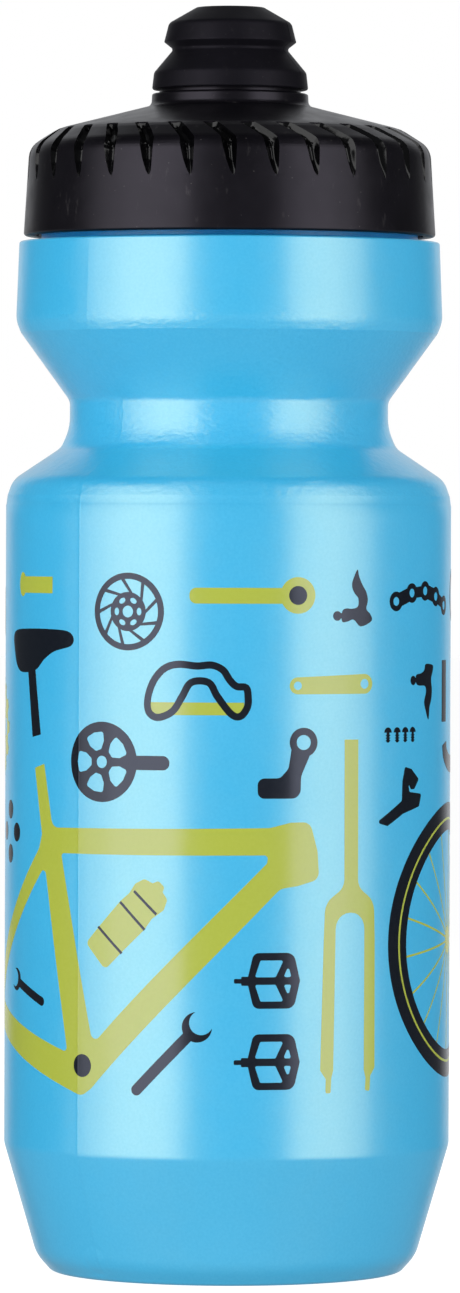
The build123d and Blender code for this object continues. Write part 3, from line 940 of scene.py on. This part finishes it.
def lower_rows_prints():
    outer = [(-37.5, 83.3, 0.2), (-34.7, 84.05, 0.2), (-32.4, 73.8, 1.6), (6.9, 74.3, 3.0),
             (10.3, 75.15, 1.5), (13.6, 75.2, 1.6), (14.9, 70.5, 3.0), (15.2, 66.0, 1.5), (11.5, 64.95, 3.0),
             (8.6, 64.5, 2.0), (-23.4, 31.9, 2.0), (-25.4, 30.6, 2.0), (-49.96, 38.7, 0), (-58.2, 41.2, 1.0),
             (-60.5, 42.6, 1.0), (-59.4, 46.9, 1.0), (-57.2, 47.9, 1.0), (-36.2, 70.2, 1.2),
             (-35.3, 72.6, 1.0)]
    main_gap = [(-30.2, 69.7, 0.5), (6.6, 69.9, 0.9), (6.4, 68.6, 0.6), (-23.1, 39.0, 1.0)]
    rear_gap = [(-34.4, 67.6, 0.8), (-28.6, 37.5, 0.6), (-55.6, 45.1, 0.8)]
    print_piece("bicycle_frame", "lime", [shape_of(outer)], [shape_of(main_gap), shape_of(rear_gap)])
    print_piece("crank_axle", "black", [disc(-25.26, 35.55, 1.86)])

    flask = [(-24.5, 55.4, 0.8), (-20.7, 51.2, 0.9), (-13.6, 57.8, 0.8), (-12.3, 59.6, 0.8),
             (-10.3, 61.0, 0.8), (-9.7, 62.7, 0.8), (-10.5, 63.9, 0.3), (-10.2, 64.7, 0.5),
             (-11.2, 65.7, 0.5), (-12.2, 65.3, 0.2), (-13.6, 66.0, 0.7), (-15.2, 65.2, 0.7),
             (-16.3, 63.6, 0.6), (-17.8, 62.4, 0.5)]
    print_piece("drinking_flask", "lime", [shape_of(flask)])
    lines = ((-22.05, 58.1, -17.6, 53.9), (-17.9, 62.2, -13.55, 57.8), (-15.4, 64.0, -11.55, 60.3))
    print_piece("flask_lines", "black", [bar(*line, 0.43) for line in lines])

    print_piece("spanner_small", "black", *spanner(-34.6, 45.2, -44.4, 48.6, 1.45, 1.85))
    print_piece("spanner_large", "black", *spanner(-15.5, 31.4, -4.8, 42.3, 1.8, 2.45))

    pedal("pedal_upper", 49.75)
    pedal("pedal_lower", 49.75 - 13.05)
    wheel("front_wheel", 51.5, 55.0)


def side_prints():
    print_piece("handlebar_grips", "black", [block(u, 90.8, u + 2.7, 100.9, 0.2) for u in (46.3, 72.0)])
    bend = [(48.1, 87.3), (48.9, 85.4), (52.6, 83.9), (60.5, 83.7), (68.4, 83.9), (72.1, 85.4), (72.9, 87.3)]
    print_piece("handlebar", "black", [stroke(bend, 2.85)])
    print_piece("headset_ring", "black", [disc(57.0, 111.5, 4.3)], [disc(57.0, 111.5, 3.1)])
    print_piece("lock_ring", "black", [disc(-60.0, 108.6, 4.6)], [disc(-60.0, 108.6, 3.2)])

    u, z = -57.5, 89.6
    teeth = []
    for k in range(12):
        for turn, radius in ((-10, 6.8), (-5.5, 8.1), (5.5, 8.1), (10, 6.8)):
            a = radians(30 * k + turn)
            teeth.append((u + radius * cos(a), z + radius * sin(a)))
    holes = [disc(u + 4.1 * cos(radians(72 * k)), z + 4.1 * sin(radians(72 * k)), 1.5) for k in range(5)]
    print_piece("sprocket", "lime", [shape_of(teeth, 0.3)], [disc(u, z, 1.4)] + holes)
    print_piece("bearing_balls", "black",
                [disc(-48.2 + 3.6 * cos(pi / 2 * k), 72.6 + 3.6 * sin(pi / 2 * k), 1.55) for k in range(4)])


def back_prints():
    wheel("rear_wheel", -92.0, 55.0)

    print_piece("pump", "lime", [block(68.0, 108.6, 89.0, 112.2, 0.5), block(89.0, 109.8, 95.0, 111.0),
                                 block(94.4, 106.9, 96.6, 113.9, 0.8)])
    cassette = []
    for k in range(7):
        u, half = 100.4 + 2.1 * k, 5.4 - 0.55 * k
        cassette.append(block(u, 110.4 - half, u + 1.5, 110.4 + half, 0.3))
    print_piece("cassette", "black", cassette + [block(99.6, 109.6, 115.0, 111.2)])

    chain("chain_run", -104.0, 110.4, 8, 1.5, 1.1)
    print_piece("crank_arm", "lime", [disc(84.0, 97.5, 3.0), disc(104.0, 96.8, 2.0),
                                      [(84.0, 94.6), (104.0, 94.9), (104.0, 98.7), (84.0, 100.4)]],
                [disc(84.0, 97.5, 1.4), disc(104.0, 96.8, 0.8)])

    print_piece("derailleur", "black",
                [disc(-104.0, 97.0, 3.4), disc(-98.5, 86.5, 3.0), bar(-104.0, 97.0, -98.5, 86.5, 3.0),
                 bar(-104.0, 97.0, -111.5, 99.5, 2.4, 1.0)],
                [disc(-104.0, 97.0, 1.3), disc(-98.5, 86.5, 1.2)])
    tyre_lever = [(-88.0, 101.0), (-80.0, 100.2), (-72.0, 99.6), (-69.0, 97.8)]
    print_piece("tyre_lever", "lime", [stroke(tyre_lever, 2.3)])
    hex_key = [(-88.5, 92.5), (-79.0, 92.6), (-74.6, 92.4), (-73.8, 91.0), (-73.7, 86.0)]
    print_piece("hex_key", "black", [stroke(hex_key, 1.3)])

    print_piece("bell", "black", [disc(84.0, 81.0, 5.6, 0, 180), block(77.6, 79.4, 90.4, 80.5, 0.4),
                                  disc(84.0, 87.2, 1.1), block(82.6, 77.2, 85.4, 79.6)])
    print_piece("valve_cap_set", "lime", [block(u, 80.0, u + 3.0, 85.6, 0.9) for u in (98.0, 103.0, 108.0)])
    print_piece("spanner_back", "black", *spanner(80.0, 40.5, 92.5, 53.0, 1.8, 2.45))
    print_piece("rear_light", "lime", [block(79.5, 60.0, 90.0, 66.5, 2.0)],
                [disc(82.6, 63.2, 1.3), disc(86.9, 63.2, 1.3)])
    toe = curved([(97.0, 66.5), (100.0, 69.6), (106.0, 68.4), (111.2, 64.0), (112.2, 60.0), (108.5, 58.6),
                  (100.0, 58.9), (96.2, 61.0)])
    print_piece("shoe_cleat", "black", [toe], [disc(101.4, 64.0, 1.2), disc(106.6, 62.6, 1.2)])
    print_piece("seat_clamp", "black", [disc(104.0, 42.0, 5.6), block(108.6, 40.0, 112.4, 44.0, 0.3)],
                [disc(104.0, 42.0, 4.0), block(107.0, 41.7, 113.0, 42.3)])


# ---------------- stage, lights and camera

def make_floor():
    """A pale floor that only the camera sees: it neither lights nor shades the bottle."""
    half = 6.0
    corners = [(-half, -half, 0), (half, -half, 0), (half, half, 0), (-half, half, 0)]
    mesh = bpy.data.meshes.new("studio_floor")
    mesh.from_pydata(corners, [], [(0, 1, 2, 3)])
    floor = bpy.data.objects.new("studio_floor", mesh)
    bpy.context.scene.collection.objects.link(floor)
    s = Shader("pale_floor", Base_Color=(0.35, 0.35, 0.35, 1), Roughness=0.9, Specular_IOR_Level=0.2,
               Emission_Color=(1, 1, 1, 1), Emission_Strength=0.92)
    mesh.materials.append(s.material)
    floor.visible_diffuse = False
    floor.visible_glossy = False
    floor.visible_shadow = False


def softbox(name, azimuth, distance, wide, low, high, radiance, in_gloss=True, in_diffuse=True, tip=0.0):
    """A flat light that faces the bottle's axis, from azimuth degrees round to the right of the camera's
    side. tip leans it forward, so that it looks down by that many degrees."""
    light = bpy.data.lights.new(name, "AREA")
    light.shape = "RECTANGLE"
    light.size, light.size_y = wide, high - low
    light.energy = radiance * pi * wide * (high - low)
    lamp = bpy.data.objects.new(name, light)
    a = radians(azimuth)
    place = Vector((distance * sin(a), -distance * cos(a), (low + high) / 2))
    lamp.location = place
    facing = Vector((place.x, place.y, hypot(place.x, place.y) * tan(radians(tip))))
    lamp.rotation_euler = facing.to_track_quat("Z", "Y").to_euler()
    lamp.visible_camera = False
    lamp.visible_glossy = in_gloss
    lamp.visible_diffuse = in_diffuse
    bpy.context.scene.collection.objects.link(lamp)


KEY_DISTANCE, KEY_LOW, KEY_HIGH = 0.50, -0.15, 0.53


def make_lights():
    """Each key light is a pair of boxes side by side, the outer one dimmer. The small top lights only make
    the glints on the lid's shoulder, and the others only fill the shadows."""
    for name, azimuth, wide, radiance in (
        ("key_left_inner", -42.0, 0.364, 3.05),
        ("key_left_outer", -71.0, 0.158, 1.95),
        ("key_right_inner", 46.8, 0.271, 2.72),
        ("key_right_outer", 69.2, 0.125, 1.85),
    ):
        softbox(name, azimuth, KEY_DISTANCE, wide, KEY_LOW, KEY_HIGH, radiance)
    for name, azimuth in (("top_left", -33.0), ("top_right", 66.0)):
        softbox(name, azimuth, 0.33, 0.05, 0.57, 0.61, 9.0, in_diffuse=False, tip=55.0)
    softbox("top_soft", 0.0, 0.35, 0.5, 0.50, 0.62, 1.2, in_gloss=False, tip=50.0)
    softbox("table_glow", 0.0, 0.10, 0.25, -0.11, -0.05, 0.85, in_gloss=False, tip=-53.0)
    softbox("fill_right", 92.0, 0.6, 0.5, -0.13, 0.59, 0.75, in_gloss=False)
    for name, azimuth in (("fill_back_left", -140.0), ("fill_back_right", 140.0)):
        softbox(name, azimuth, 0.8, 0.8, 0.05, 0.8, 1.1, in_gloss=False)


ROOM_GLOW = 0.05
FLOOR_GLOW = 0.27         # what comes back from below
FRONT_GLOW = 0.16         # the pale room on the camera's side
BACKDROP_GLOW = 0.70      # the white wall behind, seen along the bottle's edges


def make_world():
    """Dim surroundings for the object, and white where nothing stands in front."""
    world = bpy.data.worlds.new("studio")
    bpy.context.scene.world = world
    world.use_nodes = True
    tree = world.node_tree
    tree.nodes.clear()
    direction = add_node(tree, "ShaderNodeTexCoord", {}).outputs["Generated"]
    glow = 0.0
    for towards, start, end, low, high in (
        ((0, 0, -1), 0.0, 0.35, ROOM_GLOW, FLOOR_GLOW),
        ((0, -1, 0), 0.72, 0.86, 0.0, FRONT_GLOW),
        ((0, 1, 0.25), 0.80, 0.94, 0.0, BACKDROP_GLOW),
    ):
        along = add_node(tree, "ShaderNodeVectorMath", {0: direction, 1: towards}, operation="DOT_PRODUCT")
        level = add_node(tree, "ShaderNodeMapRange", {
            "Value": along.outputs["Value"],
            "From Min": start, "From Max": end, "To Min": low, "To Max": high,
        })
        glow = add_node(tree, "ShaderNodeMath", {0: level.outputs["Result"], 1: glow}).outputs[0]
    around = add_node(tree, "ShaderNodeBackground", {"Color": (0.95, 0.97, 1.0, 1), "Strength": glow})
    seen = add_node(tree, "ShaderNodeBackground", {"Color": (1, 1, 1, 1)})
    camera_ray = add_node(tree, "ShaderNodeLightPath", {}).outputs["Is Camera Ray"]
    mix = add_node(tree, "ShaderNodeMixShader", {0: camera_ray, 1: around.outputs[0], 2: seen.outputs[0]})
    add_node(tree, "ShaderNodeOutputWorld", {0: mix.outputs[0]})


CAMERA_PLACE = (0.00031, -1.3, 0.123)
CAMERA_LENS = 219.6
CAMERA_DOWN = radians(0.889)
CAMERA_ROLL = radians(0.21)


def make_camera():
    data = bpy.data.cameras.new("camera")
    data.lens = CAMERA_LENS
    data.sensor_width = 36.0
    data.clip_start, data.clip_end = 0.05, 50.0
    camera = bpy.data.objects.new("camera", data)
    bpy.context.scene.collection.objects.link(camera)
    place = Matrix.Translation(CAMERA_PLACE)
    tilt = Matrix.Rotation(pi / 2 - CAMERA_DOWN, 4, "X")
    roll = Matrix.Rotation(CAMERA_ROLL, 4, "Z")
    camera.matrix_world = place @ tilt @ roll
    bpy.context.scene.camera = camera


make_camera()
make_world()
make_lights()
make_floor()
make_bottle()
make_lid()
make_mouthpiece()
dress_cad_nodes()
top_row_prints()
left_rows_prints()
right_rows_prints()
lower_rows_prints()
side_prints()
back_prints()

bpy.context.scene.view_settings.view_transform = "Standard"
